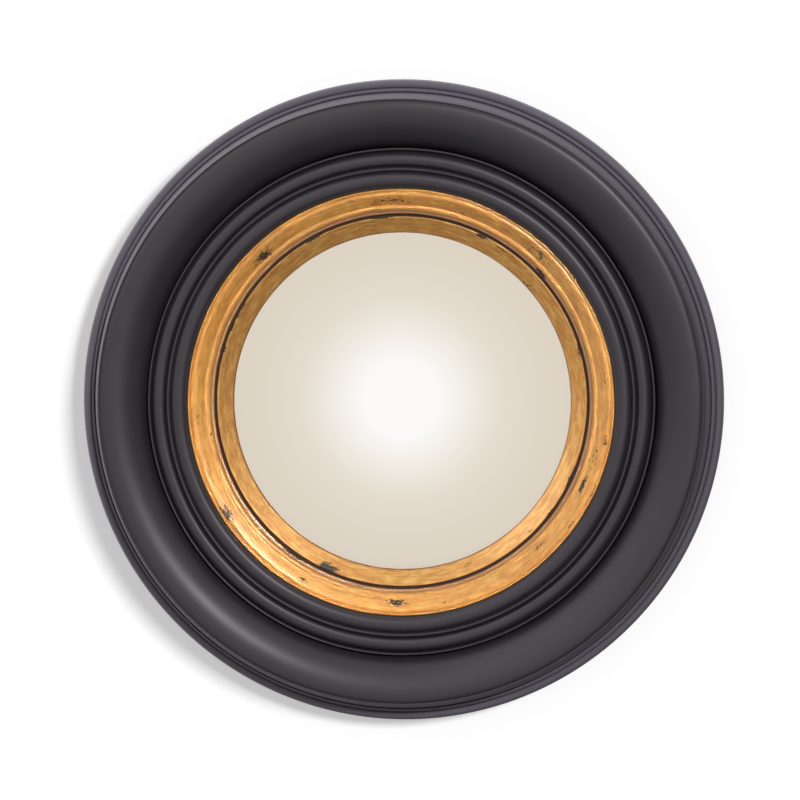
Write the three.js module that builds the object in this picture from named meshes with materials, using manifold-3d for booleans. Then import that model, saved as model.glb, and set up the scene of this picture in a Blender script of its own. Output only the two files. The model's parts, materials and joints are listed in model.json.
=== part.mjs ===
// A round convex mirror in a deep turned frame: a black moulded ring, a gilt ring inside it, a gilt slip,
// the domed glass, and behind them the packing, the board, its turn buttons and a D-ring hanger.
// Millimetres, +Z up. The front faces -Y, the wall is the plane y = 0, and the origin is the point on the
// wall under which the hanger's ring bears on its hook.
import * as THREE from "three";
import { mergeVertices } from "three/addons/utils/BufferGeometryUtils.js";
import Module from "manifold-3d";

const wasm = await Module();
wasm.setup();

// ---- driving dimensions ----

// Faces that touch on the real mirror keep this gap.
const seatGap = 0.3;
const ringSides = 48; // flats round each large turned piece
const screwSides = 10;
const padSides = 12;
const endSteps = 5; // steps along a plate's round end
const eyeSteps = 10; // steps along the rolled eye
const curveStep = 5; // longest straight step along a curved stretch of a turned section
const overshoot = 1; // how far a cutter runs past the face that it cuts

// Glass, a spherical cap, and the visible circle of it.
const sightRadius = 100.2;
const glassRebate = 3.8; // how far the glass runs on under the slip
const glassThickness = 2.5;
const glassCurvature = 300; // radius of the front surface

// The stack behind the glass, from the wall forwards.
const padThickness = 2;
const padRadius = 5;
const padCount = 4;
const recessDepth = 6; // the hardware lies in a recess of the frame's back
const boardThickness = 3;
const packingThickness = 1.3;
const packingWidth = 5;
const glassStep = 21; // step along the glass's section
const tapeThickness = 0.6;
const tapeWidth = 2.4;

// Gilt slip.
const slipLipHeight = 0.6; // the thin edge that stands on the glass
const slipFaceWidth = 9.3;
const slipFaceRise = 4.7;
const slipEdgeRound = 0.7;
const slipSeatDepth = 1.1; // from the slip's back plane down to the glass rim's front edge
const slipFlangeThickness = 3.4;
const shadowGapWidth = 1.5; // between the slip's face and the gilt ring's lip
const shadowGapDepth = 2.6; // from the gilt ring's back down to the slip

// Gilt ring: widths from the lip outwards, heights above its back. The lip hangs down inside the frame's
// flange, and its own heights are above its foot.
const lipClearance = 0.4; // from the slip up to the lip's foot
const giltLipWidth = 1.6;
const giltLipEdge = 1.2;
const giltLipHeight = 1.8;
const giltBeadWidth = 3.0;
const giltBeadLean = 0.6; // how far the bead's side leans in as it rises
const giltBeadCrest = 2.1; // from the bead's inner side
const giltBeadHeight = 3.0;
const giltQuirkWidth = 0.4;
const giltQuirkHeight = 2.8;
const giltRollWidth = 8.0;
const giltRollBend = 4.0; // where the roll's slope turns over, and how high
const giltRollBendHeight = 6.3;
const giltRollCrest = 6.3;
const giltRollHeight = 7.2;
const giltGrooveWidth = 0.5;
const giltGrooveHeight = 6.8;
const giltRimWidth = 1.2;
const giltRimHeight = 8.7;

// Black frame, front members from the gilt ring outwards: widths, and heights above the gilt ring's shelf.
const edgeHeight = 9.3;
const innerBeadWidth = 9.2;
const innerBeadLean = 1.1;
const innerBeadCrest = 5.0;
const innerBeadHeight = 12.9;
const quirkWidth = 1.5; // each V groove beside a fillet
const firstQuirkHeight = 9.0;
const filletWidth = 0.9;
const innerFilletHeight = 10.6;
const secondQuirkHeight = 7.8;
const middleBeadWidth = 7.9;
const middleBeadCrest = 3.6;
const middleBeadHeight = 10.6;
const thirdQuirkHeight = 4.6;
const outerFilletHeight = 6.8;
const deepGrooveWidth = 0.3;
const deepGrooveHeight = 0.6;
const bandFootWidth = 5.5; // the steep stretch at the band's foot
const bandFootHeight = 10.8;
const bandFootBend = 1.5; // where that stretch turns over, and how high
const bandFootBendHeight = 7.5;
const bandWidth = 26.9;
const bandHeight = 17.5;
const bandShoulder = 5.0; // the part of the band outside its crest
const bandEdgeRound = 1.0;
const bandEndHeight = 16.2;
const ridgeQuirkHeight = 15.7;
const ridgeWidth = 0.75;
const ridgeHeight = 16.5;

// Black frame, outer flank: widths outwards, heights above the frame's back rim.
const flankWidth = 3.9;
const flankTopHeight = 34.6;
const flankBend = 1.9; // where the flank turns down, and how high
const flankBendHeight = 31.4;
const flankFootHeight = 20.2;
const arrisWidth = 1.8;
const arrisLean = 0.5;
const arrisHeight = 21.6;
const coveWidth = 0.9;
const coveHeight = 18.2;
const outerBeadWidth = 5.15;
const outerBeadCrest = 2.2;
const outerBeadHeight = 19.4;
const outerBeadFoot = 12.0;
const backEdgeRound = 1.2;

// Black frame, back.
const backRimWidth = 12;
const rebateLedge = 5; // the flange that the slip bears on, measured inwards from the rebate's wall
const flangeThickness = 3.4; // from the slip's flange to the gilt ring's shelf
const boardRadialGap = 0.5;

// Turn buttons and their screws.
const buttonCount = 6;
const buttonThickness = 1.2;
const buttonWidth = 9;
const buttonTipWidth = 6.8;
const buttonReach = 16; // from the screw to the tip
const buttonOverlap = 7; // how far the tip lies over the board
const screwShankRadius = 1.4;
const screwHeadRadius = 2.8;
const screwHeadFlat = 1.5; // radius of the flat on top of the head
const screwHeadHeight = 1.6;
const screwLength = 10;
const screwTipLength = 2;
const holeClearance = 0.3;

// Pins that fix the gilt ring.
const pinCount = 6;
const pinRadius = 0.8;
const pinHeadRadius = 1.3;
const pinHeadHeight = 0.8;
const pinLength = 6.4;
const pinInset = 3.0; // from the frame flange's bore out to the pin

// Hanger: a strap folded round the ring's bar.
const wireRadius = 1.5;
const strapThickness = 1.1;
const strapWidth = 12;
const strapLength = 29; // from the bar down to the strap's round end
const strapScrewSpacing = 11;
const strapScrewInset = 6; // from the strap's end to the lower screw
const eyeMouth = 0.5; // gap between the rolled end and the strap
const barDrop = 17; // from the recess's wall down to the bar
const ringWidth = 20; // inside the bow, along the bar
const ringHeight = 9; // from the bar's centre to the inside of the bow
const ringCorner = 3.5;
const bowRound = 10; // how far each round at the bow's top runs along it
const ringSteps = 28;
const wireSides = 8;

// ---- places worked out from the dimensions ----

// Heights above the wall plane, from the back forwards.
const backRim = padThickness + seatGap;
const ledge = backRim + recessDepth;
const boardBack = ledge + seatGap;
const boardFront = boardBack + boardThickness;
const packingBack = boardFront + seatGap;
const glassRimBack = packingBack + packingThickness + seatGap;

const glassRadius = sightRadius + glassRebate;
const backCurvature = glassCurvature - glassThickness;
const rimLean = Math.asin(glassRadius / glassCurvature); // the glass's edge is square to its surface
const glassBackRadius = backCurvature * Math.sin(rimLean);
const glassCentre = glassRimBack - backCurvature * Math.cos(rimLean);
const glassFrontAt = (radius) => glassCentre + Math.sqrt(glassCurvature ** 2 - radius ** 2);
const glassBackAt = (radius) => glassCentre + Math.sqrt(backCurvature ** 2 - radius ** 2);

const slipBack = glassFrontAt(glassRadius) + slipSeatDepth;
const slipFlangeTop = slipBack + slipFlangeThickness;
const flangeBack = slipFlangeTop + seatGap;
const shelf = flangeBack + flangeThickness;
const giltBack = shelf + seatGap;

// Radii, from the axis outwards.
const slipFaceEnd = sightRadius + slipFaceWidth;
const lipRadius = slipFaceEnd + shadowGapWidth;
const giltBeadEnd = lipRadius + giltLipWidth + giltBeadWidth;
const giltRollStart = giltBeadEnd + giltQuirkWidth;
const giltRollEnd = giltRollStart + giltRollWidth;
const giltOuter = giltRollEnd + giltGrooveWidth + giltRimWidth;
const frameInner = giltOuter + seatGap;
const innerBeadEnd = frameInner + innerBeadWidth;
const innerFillet = innerBeadEnd + quirkWidth;
const middleBeadStart = innerFillet + filletWidth + quirkWidth;
const middleBeadEnd = middleBeadStart + middleBeadWidth;
const outerFillet = middleBeadEnd + quirkWidth;
const grooveStart = outerFillet + filletWidth;
const bandStart = grooveStart + deepGrooveWidth;
const bandEnd = bandStart + bandWidth;
const ridge = bandEnd + quirkWidth / 2;
const flankStart = ridge + ridgeWidth;
const flankEnd = flankStart + flankWidth;
const arrisEnd = flankEnd + arrisWidth;
const outerBeadStart = arrisEnd + coveWidth;
const frameRadius = outerBeadStart + outerBeadWidth;

const recessRadius = frameRadius - backRimWidth;
const rebateRadius = giltOuter - rebateLedge;
const flangeBore = rebateRadius - rebateLedge;
const boardRadius = rebateRadius - boardRadialGap;
const padCircle = frameRadius - backRimWidth / 2;
const buttonCircle = boardRadius - buttonOverlap + buttonReach;
const pinCircle = flangeBore + pinInset;

const eyeRadius = wireRadius + holeClearance; // the eye's bore
const eyeOuter = eyeRadius + strapThickness;
const barHeight = ledge - seatGap - eyeOuter; // the bar's height above the wall
const barRise = recessRadius - barDrop; // the bar's height above the mirror's centre
const hookRise = barRise + ringHeight; // the inside of the bow, which rests on the hook

// ---- materials ----

const blackPaint = new THREE.MeshStandardMaterial({ color: 0x2b292c, roughness: 0.45, metalness: 0 });
const goldLeaf = new THREE.MeshStandardMaterial({ color: 0xd9a04c, roughness: 0.38, metalness: 0.8 });
const silvered = new THREE.MeshStandardMaterial({ color: 0xe9e6df, roughness: 0.03, metalness: 1 });
const hardboard = new THREE.MeshStandardMaterial({ color: 0x6e4f33, roughness: 0.85, metalness: 0 });
const cork = new THREE.MeshStandardMaterial({ color: 0xa87c4f, roughness: 0.95, metalness: 0 });
const felt = new THREE.MeshStandardMaterial({ color: 0x3a3836, roughness: 1, metalness: 0 });
const zincPlate = new THREE.MeshStandardMaterial({ color: 0xb9bcc0, roughness: 0.35, metalness: 1 });

// ---- helpers ----

function solidOf(geometry) {
  const bare = geometry.index ? geometry.toNonIndexed() : geometry.clone();
  bare.deleteAttribute("normal");
  bare.deleteAttribute("uv");
  const merged = mergeVertices(bare, 1e-4);
  return new wasm.Manifold(
    new wasm.Mesh({
      numProp: 3,
      vertProperties: new Float32Array(merged.attributes.position.array),
      triVerts: new Uint32Array(merged.index.array),
    }),
  );
}

function geometryOf(solid) {
  const mesh = solid.getMesh();
  const geometry = new THREE.BufferGeometry();
  geometry.setAttribute("position", new THREE.BufferAttribute(mesh.vertProperties, 3));
  geometry.setIndex(new THREE.BufferAttribute(mesh.triVerts, 1));
  geometry.computeVertexNormals();
  return geometry;
}

function cut(geometry, cutters) {
  const solid = cutters.reduce((left, cutter) => left.subtract(solidOf(cutter)), solidOf(geometry));
  return geometryOf(solid);
}

// The corners of a section, with its curved stretches cut into steps of about one length.
function sectionPoints(path, step) {
  const points = path.curves.flatMap((curve) => {
    const steps = curve.isLineCurve ? 1 : Math.max(2, Math.round(curve.getLength() / step));
    return curve.getPoints(steps).slice(0, -1);
  });
  return [...points, path.getPoint(1)];
}

// A turned piece: the path holds (radius, height above the wall) and goes once round the section, or
// from the axis back to the axis. The axis becomes Y, with the height towards -Y.
function turned(path, sides = ringSides, step = curveStep) {
  const points = sectionPoints(path, step);
  if (THREE.ShapeUtils.isClockWise(points)) points.reverse();
  return new THREE.LatheGeometry(points, sides).rotateX(Math.PI);
}

// A round pin along Y about the point (0, 0, 0), from one height to another, and wider at its head.
function turnedPin(steps, sides = screwSides) {
  const path = new THREE.Path([new THREE.Vector2(0, steps[0][1])]);
  for (const [radius, height] of steps) path.lineTo(radius, height);
  path.lineTo(0, steps.at(-1)[1]);
  return turned(path, sides);
}

function hole(radius, fromHeight, toHeight, place) {
  const cylinder = turnedPin([[radius, fromHeight], [radius, toHeight]]);
  return cylinder.translate(place.x, 0, place.z);
}

// Places on a circle about the mirror's axis, the first one at the given angle from +X.
function placesOn(radius, count, firstAngle) {
  return Array.from({ length: count }, (_, i) => {
    const angle = firstAngle + (i * 2 * Math.PI) / count;
    return { x: radius * Math.cos(angle), z: radius * Math.sin(angle), angle };
  });
}

const buttonPlaces = placesOn(buttonCircle, buttonCount, 0);
const pinPlaces = placesOn(pinCircle, pinCount, Math.PI / pinCount);
const padPlaces = placesOn(padCircle, padCount, Math.PI / 4);
const strapScrewPlaces = [0, 1].map((i) => ({
  x: 0,
  z: barRise - strapLength + strapScrewInset + i * strapScrewSpacing,
}));

const mirror = new THREE.Group();
mirror.position.z = -hookRise; // the pieces below are placed about the mirror's own axis

function addPiece(name, geometry, material) {
  const mesh = new THREE.Mesh(geometry, material);
  mesh.name = name;
  mirror.add(mesh);
  return mesh;
}

// ---- the black frame ----

// Each member starts where the last one ends, so a width moves all that lies outside it.
function framePath() {
  const path = new THREE.Path();
  const at = (height) => shelf + height;
  path.moveTo(flangeBore, flangeBack);
  path.lineTo(flangeBore, shelf);
  path.lineTo(frameInner, shelf);
  path.lineTo(frameInner, at(edgeHeight));
  // Inner bead.
  const beadTop = at(innerBeadHeight);
  path.quadraticCurveTo(frameInner + innerBeadLean, beadTop, frameInner + innerBeadCrest, beadTop);
  path.quadraticCurveTo(innerBeadEnd, beadTop, innerBeadEnd, at(firstQuirkHeight));
  // Inner fillet between two quirks.
  path.lineTo(innerFillet, at(innerFilletHeight));
  path.lineTo(innerFillet + filletWidth, at(innerFilletHeight));
  path.lineTo(middleBeadStart, at(secondQuirkHeight));
  // Middle bead.
  const middleTop = at(middleBeadHeight);
  path.quadraticCurveTo(middleBeadStart, middleTop, middleBeadStart + middleBeadCrest, middleTop);
  path.quadraticCurveTo(middleBeadEnd, middleTop, middleBeadEnd, at(thirdQuirkHeight));
  // Outer fillet and the deep groove.
  path.lineTo(outerFillet, at(outerFilletHeight));
  path.lineTo(grooveStart, at(outerFilletHeight));
  path.lineTo(grooveStart, at(deepGrooveHeight));
  path.lineTo(bandStart, at(deepGrooveHeight));
  // The wide band rises steeply at its foot, then gently to its crest, and ends in a quirk at the ridge. The
  // gentle stretch leaves the foot along the foot's own slope.
  const foot = bandStart + bandFootWidth;
  const footRun = (bandFootWidth - bandFootBend) / (bandFootHeight - bandFootBendHeight);
  path.quadraticCurveTo(bandStart + bandFootBend, at(bandFootBendHeight), foot, at(bandFootHeight));
  const bandTurn = foot + (bandHeight - bandFootHeight) * footRun;
  path.quadraticCurveTo(bandTurn, at(bandHeight), bandEnd - bandShoulder, at(bandHeight));
  path.quadraticCurveTo(bandEnd - bandEdgeRound, at(bandHeight), bandEnd, at(bandEndHeight));
  path.lineTo((bandEnd + ridge) / 2, at(ridgeQuirkHeight));
  path.lineTo(ridge, at(ridgeHeight));
  path.lineTo(flankStart, at(ridgeHeight));
  // Stepped outer flank.
  const up = (height) => backRim + height;
  path.lineTo(flankStart, up(flankTopHeight));
  path.quadraticCurveTo(flankStart + flankBend, up(flankBendHeight), flankEnd, up(flankFootHeight));
  path.lineTo(flankEnd + arrisLean, up(arrisHeight));
  path.lineTo(arrisEnd, up(arrisHeight));
  path.lineTo(arrisEnd, up(coveHeight));
  path.lineTo(outerBeadStart, up(coveHeight));
  const outerTop = up(outerBeadHeight);
  path.quadraticCurveTo(outerBeadStart, outerTop, outerBeadStart + outerBeadCrest, outerTop);
  path.quadraticCurveTo(frameRadius, outerTop, frameRadius, up(outerBeadFoot));
  path.lineTo(frameRadius, up(backEdgeRound));
  path.lineTo(frameRadius - backEdgeRound, backRim);
  // Back rim, hardware recess and rebate.
  path.lineTo(recessRadius, backRim);
  path.lineTo(recessRadius, ledge);
  path.lineTo(rebateRadius, ledge);
  path.lineTo(rebateRadius, flangeBack);
  path.lineTo(flangeBore, flangeBack);
  return path;
}

const screwHoleDepth = screwLength + holeClearance;
const screwHoles = [...buttonPlaces, ...strapScrewPlaces].map((place) =>
  hole(screwShankRadius + holeClearance, ledge - overshoot, ledge + screwHoleDepth, place),
);
const pinHoles = pinPlaces.map((place) =>
  hole(pinRadius + holeClearance, flangeBack - overshoot, shelf + overshoot, place),
);
const sinkTop = flangeBack + pinHeadHeight + holeClearance;
const pinSinks = pinPlaces.map((place) =>
  hole(pinHeadRadius + holeClearance, flangeBack - overshoot, sinkTop, place),
);
addPiece("outer_frame", cut(turned(framePath()), [...screwHoles, ...pinHoles, ...pinSinks]), blackPaint);

// ---- the gilt ring and its pins ----

function giltPath() {
  const path = new THREE.Path();
  const at = (height) => giltBack + height;
  const lipFoot = giltBack - shadowGapDepth + lipClearance;
  const lipTop = lipFoot + giltLipHeight;
  const beadStart = lipRadius + giltLipWidth;
  const beadTop = at(giltBeadHeight);
  const rollTop = at(giltRollHeight);
  path.moveTo(lipRadius, lipFoot);
  path.lineTo(lipRadius, lipFoot + giltLipEdge);
  path.quadraticCurveTo(lipRadius, lipTop, beadStart, lipTop);
  path.quadraticCurveTo(beadStart + giltBeadLean, beadTop, beadStart + giltBeadCrest, beadTop);
  path.quadraticCurveTo(giltBeadEnd, beadTop, giltBeadEnd, at(giltQuirkHeight));
  path.lineTo(giltRollStart, at(giltQuirkHeight));
  const rollBend = giltRollStart + giltRollBend;
  path.quadraticCurveTo(rollBend, at(giltRollBendHeight), giltRollStart + giltRollCrest, rollTop);
  path.quadraticCurveTo(giltRollEnd, rollTop, giltRollEnd, at(giltGrooveHeight));
  path.lineTo(giltRollEnd + giltGrooveWidth, at(giltGrooveHeight));
  path.lineTo(giltRollEnd + giltGrooveWidth, at(giltRimHeight));
  path.lineTo(giltOuter, at(giltRimHeight));
  path.lineTo(giltOuter, giltBack);
  path.lineTo(flangeBore - seatGap, giltBack);
  path.lineTo(flangeBore - seatGap, lipFoot);
  path.lineTo(lipRadius, lipFoot);
  return path;
}

const pinTop = flangeBack + holeClearance + pinLength;
const pinBores = pinPlaces.map((place) =>
  hole(pinRadius + holeClearance, giltBack - overshoot, pinTop + holeClearance, place),
);
addPiece("gilt_ring", cut(turned(giltPath()), pinBores), goldLeaf);

pinPlaces.forEach((place, i) => {
  const headBack = flangeBack + holeClearance / 2;
  const pin = turnedPin([
    [pinHeadRadius, headBack],
    [pinHeadRadius, headBack + pinHeadHeight],
    [pinRadius, headBack + pinHeadHeight],
    [pinRadius, pinTop],
  ]);
  addPiece(`ring_pin_${i + 1}`, pin, zincPlate).position.set(place.x, 0, place.z);
});

// ---- slip, glass and what holds them ----

// The slip's sight edge stands on the glass, and the tape lies in the step behind that edge.
const tapeStart = glassRadius - seatGap - tapeWidth;
const tapeRoom = tapeThickness + 2 * seatGap;

function slipPath() {
  const path = new THREE.Path();
  const sightFoot = glassFrontAt(sightRadius) + seatGap;
  const faceStart = sightFoot + slipLipHeight;
  const faceEnd = faceStart + slipFaceRise;
  const floor = giltBack - shadowGapDepth;
  const step = tapeStart - seatGap;
  const rimRoom = glassRadius + 2 * seatGap;
  path.moveTo(sightRadius, sightFoot);
  path.lineTo(sightRadius, faceStart);
  path.lineTo(slipFaceEnd - slipEdgeRound, faceEnd);
  path.quadraticCurveTo(slipFaceEnd, faceEnd, slipFaceEnd, faceEnd - slipEdgeRound);
  path.lineTo(slipFaceEnd, floor);
  path.lineTo(flangeBore - seatGap, floor);
  path.lineTo(flangeBore - seatGap, slipFlangeTop);
  path.lineTo(boardRadius, slipFlangeTop);
  path.lineTo(boardRadius, slipBack);
  path.lineTo(rimRoom, slipBack);
  path.lineTo(rimRoom, glassFrontAt(glassRadius) + tapeRoom);
  path.lineTo(step, glassFrontAt(step) + tapeRoom);
  path.lineTo(step, glassFrontAt(step) + seatGap);
  path.lineTo(sightRadius, sightFoot);
  return path;
}
addPiece("inner_slip", turned(slipPath()), goldLeaf);

// A soft band of even thickness that lies on the glass's front.
function tapePath() {
  const path = new THREE.Path();
  const tapeEnd = tapeStart + tapeWidth;
  path.moveTo(tapeStart, glassFrontAt(tapeStart) + seatGap);
  path.lineTo(tapeStart, glassFrontAt(tapeStart) + seatGap + tapeThickness);
  path.lineTo(tapeEnd, glassFrontAt(tapeEnd) + seatGap + tapeThickness);
  path.lineTo(tapeEnd, glassFrontAt(tapeEnd) + seatGap);
  path.lineTo(tapeStart, glassFrontAt(tapeStart) + seatGap);
  return path;
}
addPiece("glass_bed_tape", turned(tapePath()), felt);

// Two concentric spheres with an edge square to them.
function glassPath() {
  const path = new THREE.Path();
  path.absarc(0, glassCentre, glassCurvature, Math.PI / 2, Math.PI / 2 - rimLean, true);
  path.lineTo(glassBackRadius, glassRimBack);
  path.absarc(0, glassCentre, backCurvature, Math.PI / 2 - rimLean, Math.PI / 2, false);
  return path;
}
addPiece("convex_glass", turned(glassPath(), ringSides, glassStep), silvered);

// The packing's front leans with the glass that it presses on.
function packingPath() {
  const path = new THREE.Path();
  const inner = glassBackRadius - packingWidth;
  path.moveTo(inner, packingBack);
  path.lineTo(inner, glassBackAt(inner) - seatGap);
  path.lineTo(glassBackRadius, glassRimBack - seatGap);
  path.lineTo(glassBackRadius, packingBack);
  path.lineTo(inner, packingBack);
  return path;
}
addPiece("packing_ring", turned(packingPath()), cork);

const board = turnedPin([[boardRadius, boardBack], [boardRadius, boardFront]], ringSides);
addPiece("backing_board", board, hardboard);

// ---- turn buttons ----

// A plate with one full round end about its screw and a slimmer tip, lying along +X from the screw.
function buttonGeometry() {
  const half = buttonWidth / 2;
  const tipHalf = buttonTipWidth / 2;
  const tipCentre = buttonReach - tipHalf;
  const lean = Math.asin((half - tipHalf) / tipCentre);
  const outline = new THREE.Shape();
  outline.absarc(0, 0, half, Math.PI / 2 - lean, -Math.PI / 2 + lean, false);
  outline.absarc(tipCentre, 0, tipHalf, -Math.PI / 2 + lean, Math.PI / 2 - lean, false);
  const bore = new THREE.Path();
  bore.absarc(0, 0, screwShankRadius + holeClearance, 0, 2 * Math.PI, true);
  outline.holes.push(bore);
  const options = { depth: buttonThickness, bevelEnabled: false, curveSegments: endSteps };
  return new THREE.ExtrudeGeometry(outline, options).rotateX(Math.PI / 2);
}

// A pan-head wood screw: the head's back is domed, the tip is a cone.
function screwGeometry(seat) {
  const headFront = seat - seatGap;
  const tip = ledge + screwLength;
  const path = new THREE.Path();
  path.moveTo(0, headFront - screwHeadHeight);
  path.lineTo(screwHeadFlat, headFront - screwHeadHeight);
  path.quadraticCurveTo(screwHeadRadius, headFront - screwHeadHeight, screwHeadRadius, headFront);
  path.lineTo(screwShankRadius, headFront);
  path.lineTo(screwShankRadius, tip - screwTipLength);
  path.lineTo(0, tip);
  return turned(path, screwSides);
}

const buttonFront = ledge - seatGap;
const buttonBack = buttonFront - buttonThickness;
buttonPlaces.forEach((place, i) => {
  const button = addPiece(`turn_button_${i + 1}`, buttonGeometry(), zincPlate);
  button.position.set(place.x, -buttonBack, place.z);
  button.rotation.y = Math.PI - place.angle; // the tip points at the mirror's axis
  const screw = addPiece(`turn_button_screw_${i + 1}`, screwGeometry(buttonBack), zincPlate);
  screw.position.set(place.x, 0, place.z);
});

// ---- hanger ----

// The strap seen from the side, in (height above the wall, rise above the bar): up the flat, round
// the bar, and back down to just short of the flat.
function strapGeometry() {
  const outline = new THREE.Shape();
  const outerMouth = Math.asin(eyeMouth / eyeOuter);
  const flatFront = eyeOuter;
  const flatBack = eyeRadius;
  const foot = -strapLength;
  outline.moveTo(flatFront, foot);
  outline.lineTo(flatFront, 0);
  outline.absarc(0, 0, eyeOuter, 0, 1.5 * Math.PI - outerMouth, false);
  outline.lineTo(-eyeRadius * Math.sin(outerMouth), -eyeRadius * Math.cos(outerMouth));
  outline.absarc(0, 0, eyeRadius, 1.5 * Math.PI - outerMouth, 0, true);
  outline.lineTo(flatBack, foot);
  outline.lineTo(flatFront, foot);
  const options = { depth: strapWidth, bevelEnabled: false, curveSegments: eyeSteps };
  const bent = new THREE.ExtrudeGeometry(outline, options);
  // Outline x is the height above the wall and y is up; the extrusion runs along the bar.
  const basis = new THREE.Matrix4().makeBasis(
    new THREE.Vector3(0, -1, 0),
    new THREE.Vector3(0, 0, 1),
    new THREE.Vector3(-1, 0, 0),
  );
  return bent.applyMatrix4(basis).translate(strapWidth / 2, 0, 0);
}

// The strap's flat, seen from the back: square at the eye, round at its lower end.
function strapOutline() {
  const half = strapWidth / 2;
  const reach = eyeOuter + overshoot;
  const outline = new THREE.Shape();
  outline.moveTo(half, reach);
  outline.lineTo(-half, reach);
  outline.lineTo(-half, -strapLength + half);
  outline.absarc(0, -strapLength + half, half, Math.PI, 2 * Math.PI, false);
  outline.lineTo(half, reach);
  const options = { depth: 2 * reach, bevelEnabled: false, curveSegments: endSteps };
  const slab = new THREE.ExtrudeGeometry(outline, options);
  return slab.rotateX(Math.PI / 2).translate(0, reach, 0);
}

function hangerPlateGeometry() {
  const shaped = solidOf(strapGeometry()).intersect(solidOf(strapOutline()));
  const reach = eyeOuter + overshoot;
  const holes = strapScrewPlaces.map((place) =>
    hole(screwShankRadius + holeClearance, -reach, reach, { x: 0, z: place.z - barRise }),
  );
  return cut(geometryOf(shaped), holes);
}
addPiece("hanger_plate", hangerPlateGeometry(), zincPlate).position.set(0, -barHeight, barRise);

const strapBack = barHeight + eyeRadius;
strapScrewPlaces.forEach((place, i) => {
  const screw = addPiece(`hanger_screw_${i + 1}`, screwGeometry(strapBack), zincPlate);
  screw.position.set(place.x, 0, place.z);
});

// A D of round wire: the straight bar lies in the strap's eye, and the bow stands up from it.
class RingLine extends THREE.CurvePath {
  constructor() {
    super();
    const half = ringWidth / 2 + wireRadius;
    const top = ringHeight + wireRadius;
    const corner = ringCorner;
    const bow = Math.min(bowRound, half);
    const at = (x, z) => new THREE.Vector3(x, 0, z);
    const bend = (from, middle, to) => this.add(new THREE.QuadraticBezierCurve3(from, middle, to));
    this.add(new THREE.LineCurve3(at(-half + corner, 0), at(half - corner, 0)));
    bend(at(half - corner, 0), at(half, 0), at(half, corner));
    bend(at(half, corner), at(half, top), at(half - bow, top));
    this.add(new THREE.LineCurve3(at(half - bow, top), at(-half + bow, top)));
    bend(at(-half + bow, top), at(-half, top), at(-half, corner));
    bend(at(-half, corner), at(-half, 0), at(-half + corner, 0));
  }
}
const ringGeometry = new THREE.TubeGeometry(new RingLine(), ringSteps, wireRadius, wireSides, true);
addPiece("hanger_ring", ringGeometry, zincPlate).position.set(0, -barHeight, barRise);

// ---- wall pads ----

padPlaces.forEach((place, i) => {
  const pad = turnedPin([[padRadius, 0], [padRadius, padThickness]], padSides);
  addPiece(`wall_pad_${i + 1}`, pad, felt).position.set(place.x, 0, place.z);
});

const root = new THREE.Group();
root.add(mirror);

export default root;
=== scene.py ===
# A round convex mirror in a deep turned frame, hung on a pale wall: satin black mouldings, a distressed gilt
# ring and slip, the domed glass, and behind them the board, its turn buttons and the hanger.
import json
import math

import bmesh
import bpy
import numpy as np
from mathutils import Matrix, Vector

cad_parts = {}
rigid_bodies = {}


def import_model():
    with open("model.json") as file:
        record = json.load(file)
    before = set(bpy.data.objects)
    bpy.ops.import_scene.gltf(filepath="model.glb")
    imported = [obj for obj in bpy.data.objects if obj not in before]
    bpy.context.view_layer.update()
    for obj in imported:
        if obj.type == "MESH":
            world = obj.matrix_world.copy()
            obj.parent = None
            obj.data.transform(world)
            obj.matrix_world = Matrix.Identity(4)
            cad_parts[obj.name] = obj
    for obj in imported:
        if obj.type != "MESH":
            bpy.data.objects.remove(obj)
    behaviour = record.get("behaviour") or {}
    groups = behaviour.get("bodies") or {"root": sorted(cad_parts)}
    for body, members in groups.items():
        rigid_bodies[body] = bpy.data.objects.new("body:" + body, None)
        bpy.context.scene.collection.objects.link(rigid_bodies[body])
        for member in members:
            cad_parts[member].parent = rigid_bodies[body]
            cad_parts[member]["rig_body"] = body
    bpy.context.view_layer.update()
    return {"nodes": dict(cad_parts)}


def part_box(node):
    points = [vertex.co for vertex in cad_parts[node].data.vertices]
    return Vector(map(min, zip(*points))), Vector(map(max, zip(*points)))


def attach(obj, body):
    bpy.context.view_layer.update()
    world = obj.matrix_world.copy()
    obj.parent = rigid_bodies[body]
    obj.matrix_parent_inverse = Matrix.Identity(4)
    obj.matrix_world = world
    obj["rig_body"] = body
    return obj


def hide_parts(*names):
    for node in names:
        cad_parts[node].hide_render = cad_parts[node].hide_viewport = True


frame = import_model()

mm = 0.001
frameLow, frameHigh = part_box("outer_frame")
centreZ = (frameLow.z + frameHigh.z) / 2  # height of the mirror's axis
print("frame loaded:", len(frame["nodes"]), "nodes")


# An outline as points: a pair of numbers is a straight move to that point, and four are a quadratic curve's
# handle and end, with (1 - t)^2 of the start, 2 t (1 - t) of the handle and t^2 of the end.
def traced(start, moves):
    line = [np.array([start], float)]
    steps = 40
    t = np.linspace(0, 1, steps + 1)[1:, None]
    for move in moves:
        here, there = line[-1][-1], np.array(move[-2:], float)
        handle = np.array(move[:2], float) if len(move) == 4 else (here + there) / 2
        line.append((1 - t) ** 2 * here + 2 * t * (1 - t) * handle + t ** 2 * there)
    return np.concatenate(line)


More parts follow.
